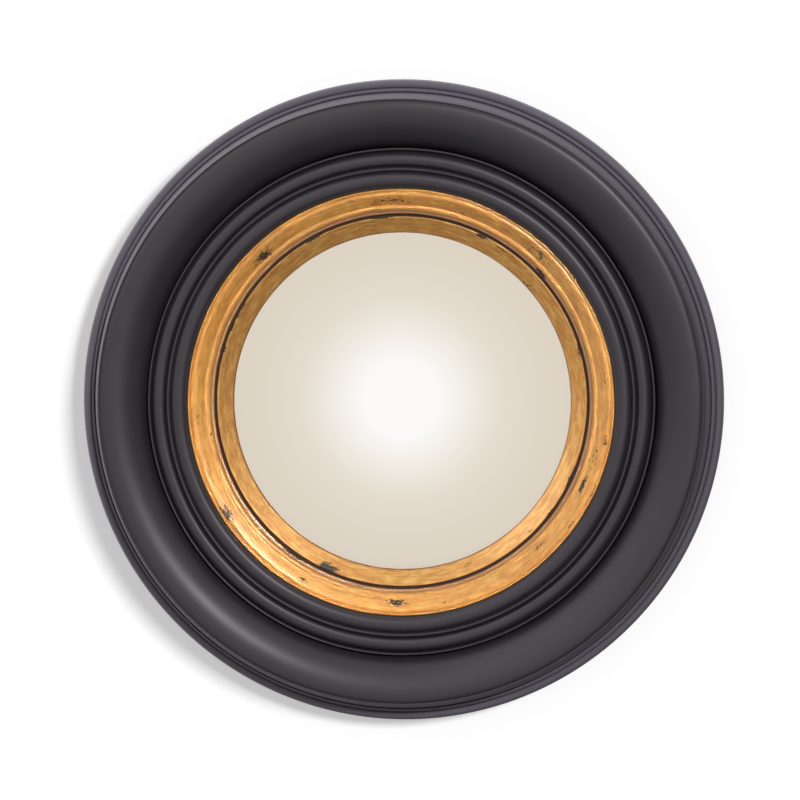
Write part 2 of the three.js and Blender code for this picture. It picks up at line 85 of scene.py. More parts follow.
# Walks an outline at small even steps and blurs it with a bell curve, which rounds each arris and fills each
# quirk as a coat of paint does. Its points are then spaced evenly in length / longest + bend / turn, so that
# they crowd where it turns sharply. Millimetres and radians.
def softened(line, rounding, count, closed=True, longest=3.0, turn=0.13):
    pitch = 0.04
    spread = 9  # steps over which a bend's points are shared out
    along = np.concatenate([[0], np.cumsum(np.hypot(*np.diff(line, axis=0).T))])
    walk = np.linspace(0, along[-1], int(along[-1] / pitch) + 1)
    even = np.stack([np.interp(walk, along, line[:, i]) for i in (0, 1)], axis=1)
    reach = int(4 * rounding / pitch) + 1
    bell = np.exp(-0.5 * (np.arange(-reach, reach + 1) * pitch / rounding) ** 2)
    bell /= bell.sum()
    if closed:
        padded = np.concatenate([even[-reach - 1:-1], even, even[1:reach + 1]])
    else:
        ends = 2 * even[0] - even[reach:0:-1], 2 * even[-1] - even[-2:-reach - 2:-1]
        padded = np.concatenate([ends[0], even, ends[1]])
    smooth = np.stack([np.convolve(padded[:, i], bell, "valid") for i in (0, 1)], axis=1)
    heading = np.unwrap(np.arctan2(*np.gradient(smooth, axis=0).T))
    bends = np.abs(np.gradient(heading))
    density = np.cumsum(pitch / longest + np.convolve(bends, np.ones(spread) / spread, "same") / turn)
    density -= density[0]
    picks = np.interp(np.linspace(0, density[-1], count + (1 if closed else 0)), density, walk)
    points = np.stack([np.interp(picks, walk, smooth[:, i]) for i in (0, 1)], axis=1)
    return points[:-1] if closed else points


# Four-sided faces between a grid's neighbours, joined round where a direction is closed.
def gridFaces(rows, columns, closedRows, closedColumns):
    index = np.arange(rows * columns).reshape(rows, columns)
    if closedRows:
        index = np.concatenate([index, index[:1]])
    if closedColumns:
        index = np.concatenate([index, index[:, :1]], axis=1)
    corners = [index[:-1, :-1], index[1:, :-1], index[1:, 1:], index[:-1, 1:]]
    return np.stack(corners, axis=-1).reshape(-1, 4)


def addObject(name, data):
    made = bpy.data.objects.new(name, data)
    bpy.context.scene.collection.objects.link(made)
    return made


# Makes a piece from a grid of points in metres, with its faces pointing out, and hands it to its CAD body.
def addPiece(name, grid, materials, node, closed=(True, True), patterns=None, faceSlots=None):
    rows, columns = grid.shape[:2]
    points = grid.reshape(-1, 3)
    faces = gridFaces(rows, columns, *closed)
    a, b, c, d = (points[faces[:, i]] for i in range(4))
    volume = np.einsum("ij,ij->", a, np.cross(b, c)) + np.einsum("ij,ij->", a, np.cross(c, d))
    if volume < 0:
        faces = faces[:, ::-1]
    mesh = bpy.data.meshes.new(name)
    mesh.from_pydata(points.tolist(), [], faces.tolist())
    if faceSlots is not None:
        mesh.polygons.foreach_set("material_index", faceSlots.astype(np.int32))
    for key, values in (patterns or {}).items():
        flat = values.size == rows * columns
        layer = mesh.attributes.new(key, "FLOAT" if flat else "FLOAT_VECTOR", "POINT")
        layer.data.foreach_set("value" if flat else "vector", values.reshape(-1).astype(np.float32))
    for material in materials:
        mesh.materials.append(material)
    # A pole, where a row of the grid has shrunk to a point, is closed by merging that point's copies.
    shell = bmesh.new()
    shell.from_mesh(mesh)
    bmesh.ops.remove_doubles(shell, verts=shell.verts, dist=1e-6)
    for face in shell.faces:
        face.smooth = True
    shell.to_mesh(mesh)
    shell.free()
    piece = addObject(name, mesh)
    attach(piece, frame["nodes"][node]["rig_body"])
    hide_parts(node)


# A turned piece: each point (radius r, height above the wall) of its section is carried round an axis, so
# that x = r cos a, z = r sin a and y = -height. The "turning" pattern holds the same turn with the length
# along the section, and "wear" how far a gilt surface is rubbed. Lifts are millimetres added to the height.
def addTurned(name, section, sides, materials, node, centre=None, lift=None, wear=None,
              faceSlots=None):
    along = np.concatenate([[0], np.cumsum(np.hypot(*np.diff(section, axis=0).T))])
    angle = (np.arange(sides) * 2 * np.pi / sides)[:, None]
    radius = np.broadcast_to(section[:, 0], (sides, len(section)))
    height = np.broadcast_to(section[:, 1], radius.shape)
    if lift is not None:
        height = height + lift(angle, radius, height)
    cos, sin = radius * np.cos(angle) * mm, radius * np.sin(angle) * mm
    x, z = centre or (0, centreZ)
    grid = np.stack([x + cos, -height * mm, z + sin], axis=-1)
    patterns = {"turning": np.stack([cos, sin, np.broadcast_to(along * mm, cos.shape)], axis=-1)}
    if wear is not None:
        patterns["wear"] = wear(angle, radius)
    if faceSlots is not None:
        faceSlots = np.tile(faceSlots, sides)
    addPiece(name, grid, materials, node, (True, True), patterns, faceSlots)


# A hex sRGB colour in linear light: c / 12.92 up to 0.04045, and ((c + 0.055) / 1.055)^2.4 above it.
def linear(code):
    parts = np.array([int(code[i:i + 2], 16) for i in (1, 3, 5)]) / 255
    return (*np.where(parts <= 0.04045, parts / 12.92, ((parts + 0.055) / 1.055) ** 2.4).tolist(), 1.0)


# Adds a node, sets it, links it and gives back its outputs. A string is an sRGB colour in hex, and stops fill
# a colour ramp.
def addNode(tree, kind, inputs=None, stops=None, **settings):
    node = tree.nodes.new("ShaderNode" + kind)
    for key, value in settings.items():
        setattr(node, key, value)
    for key, value in (inputs or {}).items():
        if isinstance(value, bpy.types.NodeSocket):
            tree.links.new(value, node.inputs[key])
        else:
            node.inputs[key].default_value = linear(value) if isinstance(value, str) else value
    if stops:
        ramp = node.color_ramp.elements
        while len(ramp) < len(stops):
            ramp.new(1.0)
        for element, (place, colour) in zip(ramp, stops):
            element.position = place
            element.color = linear(colour)
    return node.outputs


def newMaterial(name):
    material = bpy.data.materials.new(name)
    material.use_nodes = True
    material.node_tree.nodes.clear()
    return material, material.node_tree


# Satin black lacquer over sealed, turned wood: a charcoal that is a little warm and violet in the light, with
# a broad soft sheen. The spray's orange peel is about 0.7 mm wide, drawn at 1.6 mm so that it shows. Out on
# the flank, past the radius "dustSheenStart", the paint is lighter, greyer and duller: partly fine dust,
# partly a painted sheen that stands in for the bright studio seen there. This lighter tone thins out down the
# frame's outer side, between the two heights above the back rim in "dustSheenFoot". All in millimetres.
paintLook = {
    "colour": "#28252a", "worn": "#332f36", "patch": 34, "roughness": (0.36, 0.46),
    "peel": 1.6, "peelStrength": 0.05, "peelDepth": 0.1,
    "dustSheen": "#5e5963", "dustSheenRoughness": 0.58, "dustSheenStart": 178.6, "dustSheenFull": 180.0, "dustSheenFoot": (11, 16),
}


def satinBlackPaint():
    look = paintLook
    material, tree = newMaterial("satin_black_lacquer")
    place = addNode(tree, "TexCoord")["Object"]
    spots = {"Vector": place, "Scale": 1 / (look["patch"] * mm), "Detail": 3}
    patches = addNode(tree, "TexNoise", spots)[0]
    bumps = {"Vector": place, "Scale": 1 / (look["peel"] * mm), "Detail": 2}
    peel = addNode(tree, "TexNoise", bumps)[0]
    turn = addNode(tree, "Attribute", attribute_name="turning")["Vector"]
    flat = addNode(tree, "Mapping", {"Vector": turn, "Scale": (1, 1, 0)})[0]
    radius = addNode(tree, "VectorMath", {0: flat}, operation="LENGTH")["Value"]
    # Out on the flank the tone turns lighter and the gloss duller: part dust, part painted sheen.
    limits = {"Value": radius, "From Min": look["dustSheenStart"] * mm, "From Max": look["dustSheenFull"] * mm}
    outward = addNode(tree, "MapRange", limits, interpolation_type="SMOOTHSTEP")[0]
    depth = addNode(tree, "SeparateXYZ", {0: place})[1]
    clean, full = (frameHigh.y - height * mm for height in look["dustSheenFoot"])
    forward = addNode(tree, "MapRange", {"Value": depth, "From Min": clean, "From Max": full})[0]
    dustSheenShare = addNode(tree, "Math", {0: outward, 1: forward}, operation="MULTIPLY")[0]
    coat = {0: patches, 6: look["colour"], 7: look["worn"]}
    tone = addNode(tree, "Mix", coat, data_type="RGBA")[2]
    tone = addNode(tree, "Mix", {0: dustSheenShare, 6: tone, 7: look["dustSheen"]}, data_type="RGBA")[2]
    low, high = look["roughness"]
    rough = addNode(tree, "MapRange", {"Value": patches, "To Min": low, "To Max": high})[0]
    rough = addNode(tree, "Mix", {0: dustSheenShare, 2: rough, 3: look["dustSheenRoughness"]})[0]
    relief = {"Strength": look["peelStrength"], "Distance": look["peelDepth"] * mm, "Height": peel}
    paint = addNode(tree, "BsdfPrincipled", {
        "Base Color": tone,
        "Roughness": rough,
        "IOR": 1.5,
        "Specular Tint": "#faf4fd",
        "Normal": addNode(tree, "Bump", relief)[0],
    })
    addNode(tree, "OutputMaterial", {"Surface": paint[0]})
    return material


# Each noise's size round the turning and across it, in millimetres, and its detail and roughness.
leafNoises = {
    "mottle": (9, 1.8, 6, 0.62),
    "lines": (60, 0.9, 3, 0.6),
    "rub": (6, 2.2, 5, 0.66),
    "speck": (2.2, 0.8, 4, 0.6),
}
leafWear = {
    "chipEdge": (1.0, 1.07),  # wear plus noise where a chip starts, and where it is full
    "chipCoat": 0.1, "coatRoughness": 0.34, "bump": 0.12, "depth": 0.3,
}


# Gold leaf burnished over red-brown bole on gesso, under a thin shellac: warm yellow where the leaf is whole,
# orange where it is thin, long faint lines round the turning, and dark chips in clusters where it has gone.
def goldLeaf(name, look):
    material, tree = newMaterial(name)
    turn = addNode(tree, "Attribute", attribute_name="turning")["Vector"]
    noises = {}
    for shift, (key, (around, across, detail, grit)) in enumerate(leafNoises.items()):
        scale = (1 / (around * mm), 1 / (around * mm), 1 / (across * mm))
        apart = (7 * shift, -5 * shift, shift)  # keeps one noise from following another
        spot = addNode(tree, "Mapping", {"Vector": turn, "Scale": scale, "Location": apart})
        settings = {"Vector": spot[0], "Scale": 1.0, "Detail": detail, "Roughness": grit}
        noises[key] = addNode(tree, "TexNoise", settings)[0]
    tone = addNode(tree, "ValToRGB", {"Fac": noises["mottle"]}, stops=look["tones"])[0]
    # The lip has lost most of its gold and shows the copper-pink bole.
    flat = addNode(tree, "Mapping", {"Vector": turn, "Scale": (1, 1, 0)})[0]
    radius = addNode(tree, "VectorMath", {0: flat}, operation="LENGTH")["Value"]
    layers = [(noises["lines"], look["lines"]), (noises["rub"], look["rub"]), (radius, look["edge"])]
    for value, (low, high, strength, colour) in layers:
        limits = {"Value": value, "From Min": low, "From Max": high, "To Max": strength}
        share = addNode(tree, "MapRange", limits, interpolation_type="SMOOTHSTEP")[0]
        tone = addNode(tree, "Mix", {0: share, 6: tone, 7: colour}, data_type="RGBA")[2]
    wear = addNode(tree, "Attribute", attribute_name="wear")["Fac"]
    loss = addNode(tree, "Math", {0: wear, 1: noises["speck"]}, operation="ADD")[0]
    low, high = leafWear["chipEdge"]
    limits = {"Value": loss, "From Min": low, "From Max": high}
    chip = addNode(tree, "MapRange", limits, interpolation_type="SMOOTHSTEP")[0]
    dark, light = look["chip"]
    ground = addNode(tree, "Mix", {0: noises["rub"], 6: dark, 7: light}, data_type="RGBA")[2]
    tone = addNode(tree, "Mix", {0: chip, 6: tone, 7: ground}, data_type="RGBA")[2]
    metal = addNode(tree, "MapRange", {"Value": chip, "To Min": look["metallic"], "To Max": 0.0})[0]
    coats = {"Value": chip, "To Min": look["coat"], "To Max": leafWear["chipCoat"]}
    shellac = addNode(tree, "MapRange", coats)[0]
    height = addNode(tree, "Math", {0: noises["lines"], 1: chip}, operation="SUBTRACT")[0]
    relief = {"Strength": leafWear["bump"], "Distance": leafWear["depth"] * mm, "Height": height}
    low, high = look["roughness"]
    rough = addNode(tree, "MapRange", {"Value": noises["rub"], "To Min": low, "To Max": high})[0]
    leaf = addNode(tree, "BsdfPrincipled", {
        "Base Color": tone,
        "Metallic": metal,
        "Roughness": rough,
        "Coat Weight": shellac,
        "Coat Roughness": leafWear["coatRoughness"],
        "Coat IOR": 1.8,
        "Normal": addNode(tree, "Bump", relief)[0],
    })
    addNode(tree, "OutputMaterial", {"Surface": leaf[0]})
    return material


# Layers are (where the noise, or the radius in metres, starts and where it is full, its share, its colour).
ringLeafLook = {
    "tones": [(0.3, "#dc8e34"), (0.45, "#eda33c"), (0.56, "#f7b74a"), (0.7, "#fecf6c")],
    "lines": (0.5, 0.66, 0.3, "#955b1e"),
    "rub": (0.5, 0.72, 0.36, "#b87428"),
    "edge": (0.1132, 0.1124, 0.75, "#b07a58"),
    "chip": ("#180c05", "#40260f"),
    "metallic": 0.5, "roughness": (0.46, 0.6), "coat": 1.0,
}
slipLeafLook = {
    "tones": [(0.3, "#b87836"), (0.45, "#c98d44"), (0.56, "#d6a152"), (0.7, "#e4b86d")],
    "lines": (0.5, 0.66, 0.15, "#8f5520"),
    "rub": (0.5, 0.72, 0.3, "#a0682c"),
    "edge": (0.1012, 0.1004, 0.4, "#b58a62"),
    "chip": ("#1a0e06", "#442914"),
    "metallic": 0.6, "roughness": (0.42, 0.56), "coat": 0.35,
}


# Silvered float glass, ground and polished: a clean mirror with the faint warmth of the glass in front.
def silveredGlass():
    material, tree = newMaterial("silvered_glass")
    silver = addNode(tree, "BsdfPrincipled", {"Base Color": "#fbfaf8", "Metallic": 1.0, "Roughness": 0.015})
    addNode(tree, "OutputMaterial", {"Surface": silver[0]})
    return material


# Thin umber stain brushed over gesso: matt and nearly black, down in the gap beside the gold, where it is
# also painted shade for the gap.
def umberStainAndShade():
    material, tree = newMaterial("umber_stain_and_painted_gap_shade")
    place = addNode(tree, "TexCoord")["Object"]
    brushed = addNode(tree, "TexNoise", {"Vector": place, "Scale": 1 / (4 * mm), "Detail": 4})
    tone = addNode(tree, "Mix", {0: brushed[0], 6: "#26160b", 7: "#4e2f18"}, data_type="RGBA")
    stainShade = addNode(tree, "BsdfPrincipled", {"Base Color": tone[2], "Roughness": 0.75})
    addNode(tree, "OutputMaterial", {"Surface": stainShade[0]})
    return material


# One procedural material from a base colour mottled by a noise, and a finer noise for its flecks and bump.
# Each noise is (size in millimetres, stretch along X, detail), so that a stretched one gives fibres.
def groundMaterial(name, look):
    material, tree = newMaterial(name)
    place = addNode(tree, "TexCoord")["Object"]
    noises = []
    for size, stretch, detail in (look["mottle"], look["grain"]):
        spot = addNode(tree, "Mapping", {"Vector": place, "Scale": (1 / stretch, 1, 1)})[0]
        settings = {"Vector": spot, "Scale": 1 / (size * mm), "Detail": detail}
        noises.append(addNode(tree, "TexNoise", settings)[0])
    mottle, grain = noises
    tone = addNode(tree, "ValToRGB", {"Fac": mottle}, stops=look["tones"])[0]
    limits = {"Value": grain, "From Min": 0.5, "From Max": 0.7, "To Max": look["fleckShare"]}
    fleck = addNode(tree, "MapRange", limits)[0]
    tone = addNode(tree, "Mix", {0: fleck, 6: tone, 7: look["fleck"]}, data_type="RGBA")[2]
    relief = {"Strength": look["bump"], "Distance": look["depth"] * mm, "Height": grain}
    low, high = look["roughness"]
    rough = addNode(tree, "MapRange", {"Value": mottle, "To Min": low, "To Max": high})[0]
    surface = addNode(tree, "BsdfPrincipled", {
        "Base Color": tone,
        "Roughness": rough,
        "Metallic": look["metallic"],
        "Normal": addNode(tree, "Bump", relief)[0],
    })
    addNode(tree, "OutputMaterial", {"Surface": surface[0]})
    return material


blackPaint = satinBlackPaint()
stainAndGapShade = umberStainAndShade()
# The frame's back has one thin matt coat: the wood's grain shows through it as lighter, browner streaks.
thinCoat = groundMaterial("thin_black_coat_on_wood", {
    "tones": [(0.3, "#1c1a1b"), (0.7, "#2b2625")], "fleck": "#43352a", "fleckShare": 0.5,
    "mottle": (22, 1, 3), "grain": (1.4, 9, 4), "bump": 0.3, "depth": 0.15,
    "roughness": (0.55, 0.75), "metallic": 0.0,
})
# Tempered hardboard, smooth side out: even brown with fine darker and lighter fibres in no direction.
hardboard = groundMaterial("tempered_hardboard", {
    "tones": [(0.3, "#65452b"), (0.5, "#6d4a2d"), (0.7, "#75512f")], "fleck": "#94704a", "fleckShare": 0.5,
    "mottle": (14, 1, 6), "grain": (1.1, 2.2, 5), "bump": 0.25, "depth": 0.1,
    "roughness": (0.55, 0.7), "metallic": 0.0,
})
# Bright zinc plate on stamped steel: a cool grey metal with a cloudy, faintly brushed sheen.
zincPlate = groundMaterial("bright_zinc_plate", {
    "tones": [(0.3, "#a3a6a8"), (0.55, "#b8bbbd"), (0.7, "#c8c9c7")], "fleck": "#8d8f90", "fleckShare": 0.4,
    "mottle": (2.2, 1, 4), "grain": (0.35, 6, 3), "bump": 0.15, "depth": 0.04,
    "roughness": (0.28, 0.46), "metallic": 1.0,
})
# Pressed felt: charcoal, matt, with a fine tangle of paler fibres.
felt = groundMaterial("pressed_felt", {
    "tones": [(0.3, "#33302e"), (0.7, "#413d3a")], "fleck": "#6a645e", "fleckShare": 0.45,
    "mottle": (1.6, 1, 4), "grain": (0.3, 3, 4), "bump": 0.8, "depth": 0.2,
    "roughness": (0.9, 1.0), "metallic": 0.0,
})
# Cork sheet: warm brown granules about a millimetre across, some much darker.
cork = groundMaterial("cork_sheet", {
    "tones": [(0.35, "#8a5f38"), (0.5, "#a87c4f"), (0.65, "#bc9162")], "fleck": "#5d3d22", "fleckShare": 0.7,
    "mottle": (1.2, 1, 2), "grain": (0.9, 1, 3), "bump": 0.5, "depth": 0.2,
    "roughness": (0.8, 0.95), "metallic": 0.0,
})
ringLeaf = goldLeaf("burnished_gold_leaf", ringLeafLook)
slipLeaf = goldLeaf("gold_leaf_on_the_slip", slipLeafLook)
mirrorGlass = silveredGlass()
print("materials made")

# Shared by the frame and what seats in it, in millimetres. Heights are above the wall.
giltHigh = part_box("gilt_ring")[1]
seatGap = 0.3  # between pieces that bear on each other
lipDrop = 2.2  # how far the gilt ring's lip hangs below the ring's back
giltBack = -giltHigh.y / mm + lipDrop
giltOuter = giltHigh.x / mm
flangeReach = 10  # from the gilt ring's outer side in to the bore of the frame's flange
backRim = -frameHigh.y / mm

frameSize = {  # millimetres: widths outwards from the gilt ring, heights above its shelf
    "edgeHeight": 9.3,
    "innerBead": (9.2, 12.9), "innerLean": 1.1, "innerCrest": 5.0,
    "quirk": 1.5, "fillet": 0.9,
    "quirkHeights": (9.0, 7.8, 4.6),
    "filletHeights": (10.6, 6.8),
    "middleBead": (7.9, 10.6), "middleCrest": 3.6,
    "groove": (0.3, 0.6),
    "bandFoot": (5.5, 10.8), "footHandle": (1.5, 7.5),
    "band": (26.9, 17.5), "shoulder": 5.0, "edgeRound": 1.0, "bandEnd": 16.2,
    "ridgeQuirk": 16.0, "ridge": (0.75, 16.5),
    "flank": (3.9, 34.6, 20.2), "flankHandle": (1.9, 31.4),  # heights from here on are above the back rim
    "arris": (1.8, 21.6), "arrisLean": 0.5, "cove": (0.9, 18.2),
    "outerBead": (5.15, 19.4, 12.0), "outerCrest": 2.2, "backRound": 1.2,
    "rimWidth": 12, "ledge": 6, "rebate": 5, "flange": 3.4,
    "rounding": 0.2, "points": 272, "sides": 364,
    "thinCoat": (4, 2.5),  # reaches so far above the ledge, and stops so far inside the outer wall
}


# From the bore of the flange out over the mouldings to the outer wall, and back along the rim and the rebate.
def frameSection():
    s = frameSize
    shelf = giltBack - seatGap
    inner = giltOuter + seatGap
    start = (giltOuter - flangeReach, shelf - s["flange"])
    quirks = [shelf + height for height in s["quirkHeights"]]
    fillets = [shelf + height for height in s["filletHeights"]]
    beadEnd, beadTop = inner + s["innerBead"][0], shelf + s["innerBead"][1]
    fillet = beadEnd + s["quirk"]
    middle = fillet + s["fillet"] + s["quirk"]
    middleEnd, middleTop = middle + s["middleBead"][0], shelf + s["middleBead"][1]
    fillet2 = middleEnd + s["quirk"]
    groove, grooveFloor = fillet2 + s["fillet"], shelf + s["groove"][1]
    band = groove + s["groove"][0]
    bandEnd, bandTop = band + s["band"][0], shelf + s["band"][1]
    crest = bandEnd - s["shoulder"]
    foot, footTop = band + s["bandFoot"][0], shelf + s["bandFoot"][1]
    # The band's long curve goes on as steeply as its foot ends.
    footRun = (s["bandFoot"][0] - s["footHandle"][0]) / (s["bandFoot"][1] - s["footHandle"][1])
    ridge, ridgeTop = bandEnd + s["quirk"] / 2, shelf + s["ridge"][1]
    flank = ridge + s["ridge"][0]
    flankEnd = flank + s["flank"][0]
    arrisEnd = flankEnd + s["arris"][0]
    bead = arrisEnd + s["cove"][0]
    outer = bead + s["outerBead"][0]
    flankTop, flankFoot = backRim + s["flank"][1], backRim + s["flank"][2]
    arris, cove = backRim + s["arris"][1], backRim + s["cove"][1]
    outerTop, outerFoot = backRim + s["outerBead"][1], backRim + s["outerBead"][2]
    ledge = backRim + s["ledge"]
    recess, wall = outer - s["rimWidth"], giltOuter - s["rebate"]
    moves = [
        (start[0], shelf), (inner, shelf), (inner, shelf + s["edgeHeight"]),
        (inner + s["innerLean"], beadTop, inner + s["innerCrest"], beadTop),
        (beadEnd, beadTop, beadEnd, quirks[0]),
        (fillet, fillets[0]), (fillet + s["fillet"], fillets[0]), (middle, quirks[1]),
        (middle, middleTop, middle + s["middleCrest"], middleTop),
        (middleEnd, middleTop, middleEnd, quirks[2]),
        (fillet2, fillets[1]), (groove, fillets[1]), (groove, grooveFloor), (band, grooveFloor),
        (band + s["footHandle"][0], shelf + s["footHandle"][1], foot, footTop),
        (foot + (bandTop - footTop) * footRun, bandTop, crest, bandTop),
        (bandEnd - s["edgeRound"], bandTop, bandEnd, shelf + s["bandEnd"]),
        ((bandEnd + ridge) / 2, shelf + s["ridgeQuirk"]), (ridge, ridgeTop), (flank, ridgeTop),
        (flank, flankTop),
        (flank + s["flankHandle"][0], backRim + s["flankHandle"][1], flankEnd, flankFoot),
        (flankEnd + s["arrisLean"], arris), (arrisEnd, arris), (arrisEnd, cove), (bead, cove),
        (bead, outerTop, bead + s["outerCrest"], outerTop),
        (outer, outerTop, outer, outerFoot),
        (outer, backRim + s["backRound"]), (outer - s["backRound"], backRim),
        (recess, backRim), (recess, ledge), (wall, ledge), (wall, start[1]), start,
    ]
    return softened(traced(start, moves), s["rounding"], s["points"])


section = frameSection()
coatRise, coatInset = frameSize["thinCoat"]
inBack = section[:, 1] < backRim + frameSize["ledge"] + coatRise
inBack &= section[:, 0] < frameHigh.x / mm - coatInset
addTurned("outer_frame_turned", section, frameSize["sides"], [blackPaint, thinCoat],
          "outer_frame", faceSlots=inBack)
print("black frame made")

giltSize = {  # millimetres: widths outwards from the lip, heights above the ring's back
    "lip": (1.6, -0.4), "lipEdge": 1.2, "bead": (3.0, 3.0), "beadLean": 0.6, "beadCrest": 2.1,
    "quirk": (0.4, 2.8), "roll": (8.0, 7.2), "rollBend": (4.0, 6.3), "rollCrest": 6.3,
    "groove": (0.5, 6.8), "rim": (1.2, 8.7),
    "rounding": 0.34, "points": 120, "sides": 364,
    "stainShade": (0.25, 0.9),  # dark stain, painted shade of the gap: out from the lip's inner side, up from its foot
}


# From the lip's foot up over the bead and the roll to the rim, down the outer side and in along the back.
def giltSection():
    s = giltSize
    widths = [s[key][0] for key in ("lip", "bead", "quirk", "roll", "groove", "rim")]
    lip, bead, quirk, roll, groove, rim = giltOuter - np.cumsum(widths[::-1])[::-1]
    top = {key: giltBack + s[key][1] for key in ("lip", "bead", "quirk", "roll", "groove", "rim")}
    foot = giltBack - lipDrop
    seat = giltOuter - flangeReach - seatGap
    moves = [
        (lip, foot + s["lipEdge"]), (lip, top["lip"], bead, top["lip"]),
        (bead + s["beadLean"], top["bead"], bead + s["beadCrest"], top["bead"]),
        (quirk, top["bead"], quirk, top["quirk"]), (roll, top["quirk"]),
        (roll + s["rollBend"][0], giltBack + s["rollBend"][1], roll + s["rollCrest"], top["roll"]),
        (groove, top["roll"], groove, top["groove"]),
        (rim, top["groove"]), (rim, top["rim"]), (giltOuter, top["rim"]), (giltOuter, giltBack),
        (seat, giltBack), (seat, foot), (lip, foot),
    ]
    return softened(traced((lip, foot), moves), s["rounding"], s["points"])


# Gesso laid by brush leaves slow waves along the turning, a few hundredths of a millimetre high: the sum of
# sines of whole turns of the angle, each drifting with radius and height.
gesso = {"seed": 7, "waves": 14, "turns": (9, 70), "drift": (0.1, 0.9), "height": 0.012}


def gessoWaves(angle, radius, height):
    waves = np.zeros(radius.shape)
    draw = np.random.default_rng(gesso["seed"])
    for _ in range(gesso["waves"]):
        turns, drift = draw.integers(*gesso["turns"]), draw.uniform(*gesso["drift"])
        waves += np.sin(turns * angle + drift * (radius + height) + draw.uniform(0, 2 * np.pi))
    return gesso["height"] * waves


# Where the leaf is rubbed and chipped most: the direction in degrees counter-clockwise from the right and its
# spread, the radius in millimetres and its spread, and the strength.
wornPlaces = [
    (43, 2.0, 112.0, 0.9, 0.75), (47, 3.0, 119.0, 4.0, 0.5), (52, 4.0, 117.5, 3.0, 0.42),
    (30, 5.0, 117.5, 2.0, 0.42), (50, 2.4, 102.2, 0.9, 0.7), (42.5, 2.8, 101.8, 1.0, 0.85),
    (55.5, 2.5, 108.0, 0.8, 0.55), (16.5, 1.8, 109.3, 0.7, 0.7), (64.3, 1.4, 109.0, 1.1, 0.8),
    (96.5, 2.8, 109.4, 0.7, 0.8), (118.5, 2.5, 109.4, 0.7, 0.75), (93, 6.0, 118.6, 1.7, 0.56),
    (97, 3.0, 117.6, 1.0, 0.55), (72, 1.6, 118.0, 0.8, 0.62), (104, 1.6, 122.0, 0.8, 0.5),
    (114, 2.5, 121.0, 1.6, 0.46), (133, 2.4, 118.0, 2.0, 0.7), (163, 1.8, 109.6, 0.6, 0.75),
    (156.5, 1.7, 109.5, 0.6, 0.75), (151.5, 1.8, 109.5, 0.6, 0.72), (149, 1.2, 109.0, 0.9, 0.6),
    (212.5, 2.4, 122.0, 3.0, 0.6), (202, 4.0, 120.0, 1.2, 0.45), (185, 2.0, 120.0, 0.8, 0.55),
    (190.5, 1.5, 114.0, 0.7, 0.55), (217.5, 3.5, 103.0, 1.6, 0.5), (235, 3.5, 111.4, 0.7, 0.7),
    (246, 2.4, 108.0, 2.0, 0.85), (268.8, 2.2, 119.6, 0.7, 0.75), (268.5, 2.2, 117.6, 0.7, 0.72),
    (241, 1.6, 119.6, 1.0, 0.6), (291.7, 1.5, 104.6, 0.8, 0.55), (271, 1.2, 105.5, 1.6, 0.5),
    (349.5, 1.4, 122.6, 0.8, 0.6), (344, 3.0, 118.0, 2.4, 0.48), (335.7, 2.0, 117.4, 0.8, 0.9),
    (336, 2.6, 109.5, 0.8, 0.85), (323.5, 1.8, 109.6, 0.6, 0.8), (340, 1.0, 106.5, 1.2, 0.55),
    (314.7, 1.2, 106.2, 1.2, 0.55), (324.5, 1.4, 123.2, 0.9, 0.6), (314, 2.5, 117.4, 0.8, 0.55),
    (335.5, 3.0, 124.4, 0.8, 0.5), (7, 3.0, 121.0, 1.6, 0.45), (282, 3.0, 121.0, 1.8, 0.42),
]
wearEverywhere = 0.3


# Each place is a bell in both directions; the strongest one counts.
def goldWear(angle, radius):
    wear = np.full(radius.shape, wearEverywhere)
    for clock, spread, middle, width, strength in wornPlaces:
        off = (np.degrees(angle) - clock + 180) % 360 - 180
        place = np.exp(-0.5 * (off / spread) ** 2 - 0.5 * ((radius - middle) / width) ** 2)
        wear = np.maximum(wear, wearEverywhere + (strength - wearEverywhere) * place)
    return wear


# The gold stops short of the gap between ring and slip, where the dark stain is laid as painted shade: which
# faces of a section lie between two radii and below a height.
def stainShadedBelow(section, inside, outside, top):
    radius, height = (np.minimum(section[:, i], np.roll(section[:, i], -1)) for i in (0, 1))
    return (radius > inside) & (radius < outside) & (height < top)


section = giltSection()
stainShadeWidth, stainShadeRise = giltSize["stainShade"]
stainShaded = stainShadedBelow(section, 0, section[:, 0].min() + stainShadeWidth, giltBack - lipDrop + stainShadeRise)
addTurned("gilt_ring_turned", section, giltSize["sides"], [ringLeaf, stainAndGapShade], "gilt_ring",
          lift=gessoWaves, wear=goldWear, faceSlots=stainShaded)

glassLow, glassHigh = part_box("convex_glass")
glassSize = {"rebate": 3.8, "thickness": 2.5, "curvature": 300, "points": 60, "sides": 256}  # millimetres
glassRadius = glassHigh.x / mm
glassCentre = -glassLow.y / mm - glassSize["curvature"]  # height of the spheres' centre, far behind the wall
sightRadius = glassRadius - glassSize["rebate"]


# The height of the glass's front face at a radius.
def glassFront(radius):
    return glassCentre + math.sqrt(glassSize["curvature"] ** 2 - radius ** 2)


slipSize = {  # millimetres
    "lip": 0.6, "faceWidth": 9.3, "faceRise": 4.7, "round": 0.7, "gapDepth": 2.6, "flange": 3.4,
    "tapeDepth": 1.2, "tapeWidth": 3.0,  # the groove for the tape that the glass beds on
    "rounding": 0.12, "points": 110, "sides": 364,
    "stainShade": (0.15, 0.3),  # dark stain, painted shade of the gap: how near the face's outer edge it starts, and where it covers all
}


